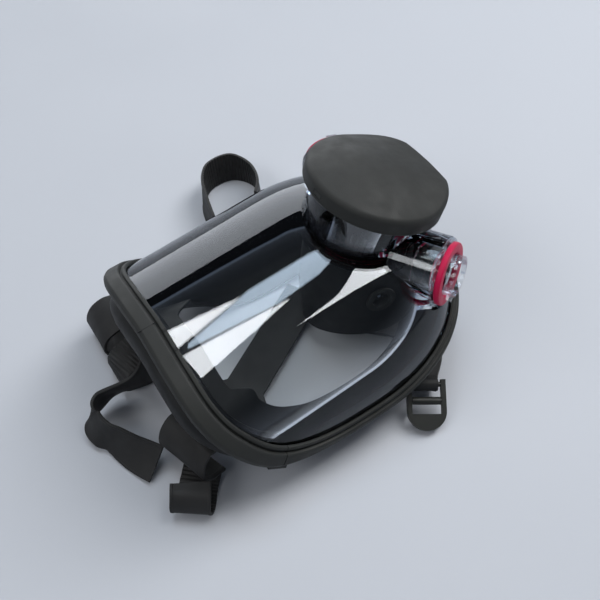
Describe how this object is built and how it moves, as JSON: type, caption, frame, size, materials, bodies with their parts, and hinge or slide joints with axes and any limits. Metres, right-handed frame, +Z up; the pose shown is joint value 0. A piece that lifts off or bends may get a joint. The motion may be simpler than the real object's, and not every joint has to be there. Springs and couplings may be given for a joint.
{
  "type": "full-face respirator mask",
  "caption": "Full-face respirator mask with clear visor, clamp frame, front exhalation cap, side filter ports, nose cup, face seal and rubber head harness.",
  "frame": {"origin": "middle of the footprint, on the bench", "axes": "+Z up, out of the visor; +Y towards the forehead end; +X towards the wearer's left"},
  "size_m": [0.26, 0.241, 0.1361],
  "materials": {
    "clear_polymer": "gloss",
    "grey_shell": "matte",
    "black_housing": "gloss",
    "strap_rubber": "matte",
    "seal_rubber": "satin",
    "red_silicone": "satin",
    "pale_silicone": "satin",
    "steel": "satin"
  },
  "bodies": {
    "mask": {"visor": "clear_polymer", "port_body_left": "clear_polymer", "port_body_right": "clear_polymer", "seam_tab_right": "clear_polymer", "upper_frame": "grey_shell", "lower_frame": "grey_shell", "side_clip_left": "grey_shell", "side_clip_right": "grey_shell", "diaphragm_ring": "grey_shell", "exhalation_valve_seat": "grey_shell", "cup_valve_seat_left": "grey_shell", "cup_valve_seat_right": "grey_shell", "front_housing": "black_housing", "housing_nut": "black_housing", "speech_diaphragm": "steel", "collar_gasket": "red_silicone", "port_gasket_left": "red_silicone", "port_gasket_right": "red_silicone", "face_seal": "seal_rubber", "nose_cup": "seal_rubber", "buckle_anchor_cheek_left": "seal_rubber", "buckle_anchor_cheek_right": "seal_rubber", "temple_lug_left": "strap_rubber", "temple_lug_right": "strap_rubber", "temple_strap_left": "strap_rubber", "temple_strap_right": "strap_rubber", "forehead_strap": "strap_rubber", "cheek_strap_left": "strap_rubber", "cheek_strap_right": "strap_rubber", "crown_pad": "strap_rubber"},
    "front_cap": {"front_cap": "grey_shell"},
    "cap_latch": {"cap_latch": "grey_shell"},
    "exhalation_valve_disc": {"exhalation_valve_disc": "pale_silicone"},
    "inhalation_valve_disc_left": {"inhalation_valve_disc_left": "red_silicone"},
    "inhalation_valve_disc_right": {"inhalation_valve_disc_right": "red_silicone"},
    "cup_valve_disc_left": {"cup_valve_disc_left": "pale_silicone"},
    "cup_valve_disc_right": {"cup_valve_disc_right": "pale_silicone"},
    "buckle_cheek_left": {"buckle_cheek_left": "grey_shell"},
    "buckle_cheek_right": {"buckle_cheek_right": "grey_shell"},
    "buckle_roller_cheek_left": {"buckle_roller_cheek_left": "grey_shell"},
    "buckle_roller_cheek_right": {"buckle_roller_cheek_right": "grey_shell"}
  },
  "joints": [
    {"name": "front_cap_pull", "type": "slide", "parent": "mask", "child": "front_cap", "axis": [0, -0.3223, 0.9466], "range_m": [0, 0.015]},
    {"name": "cap_latch_press", "type": "slide", "parent": "front_cap", "child": "cap_latch", "axis": [0, -0.9466, -0.3223], "range_m": [0, 0.001], "stiffness_N_per_m": 300},
    {"name": "exhalation_valve_lift", "type": "slide", "parent": "mask", "child": "exhalation_valve_disc", "axis": [0, -0.3223, 0.9466], "range_m": [0, 0.002], "stiffness_N_per_m": 20},
    {"name": "inhalation_valve_left_lift", "type": "slide", "parent": "mask", "child": "inhalation_valve_disc_left", "axis": [-0.8702, 0.478, -0.1194], "range_m": [0, 0.002], "stiffness_N_per_m": 20},
    {"name": "cup_valve_left_lift", "type": "slide", "parent": "mask", "child": "cup_valve_disc_left", "axis": [-0.9686, -0.2345, -0.0824], "range_m": [0, 0.0015], "stiffness_N_per_m": 20},
    {"name": "inhalation_valve_right_lift", "type": "slide", "parent": "mask", "child": "inhalation_valve_disc_right", "axis": [0.8702, 0.478, -0.1194], "range_m": [0, 0.002], "stiffness_N_per_m": 20},
    {"name": "cup_valve_right_lift", "type": "slide", "parent": "mask", "child": "cup_valve_disc_right", "axis": [0.9686, -0.2345, -0.0824], "range_m": [0, 0.0015], "stiffness_N_per_m": 20},
    {"name": "cheek_buckle_left_swing", "type": "hinge", "parent": "mask", "child": "buckle_cheek_left", "pos_m": [0.05062, -0.06157, 0.02037], "axis": [-0.0099, 0.9567, 0.2909], "range_deg": [-8, 12]},
    {"name": "cheek_roller_left_spin", "type": "hinge", "parent": "buckle_cheek_left", "child": "buckle_roller_cheek_left", "pos_m": [0.05999, -0.06047, 0.01706], "axis": [-0.0099, 0.9567, 0.2909], "continuous": true},
    {"name": "cheek_buckle_right_swing", "type": "hinge", "parent": "mask", "child": "buckle_cheek_right", "pos_m": [-0.10599, -0.06657, 0.01577], "axis": [0.52, 0.8527, 0.0495], "range_deg": [-8, 12]},
    {"name": "cheek_roller_right_spin", "type": "hinge", "parent": "buckle_cheek_right", "child": "buckle_roller_cheek_right", "pos_m": [-0.11366, -0.06165, 0.01164], "axis": [0.52, 0.8527, 0.0495], "continuous": true}
  ]
}
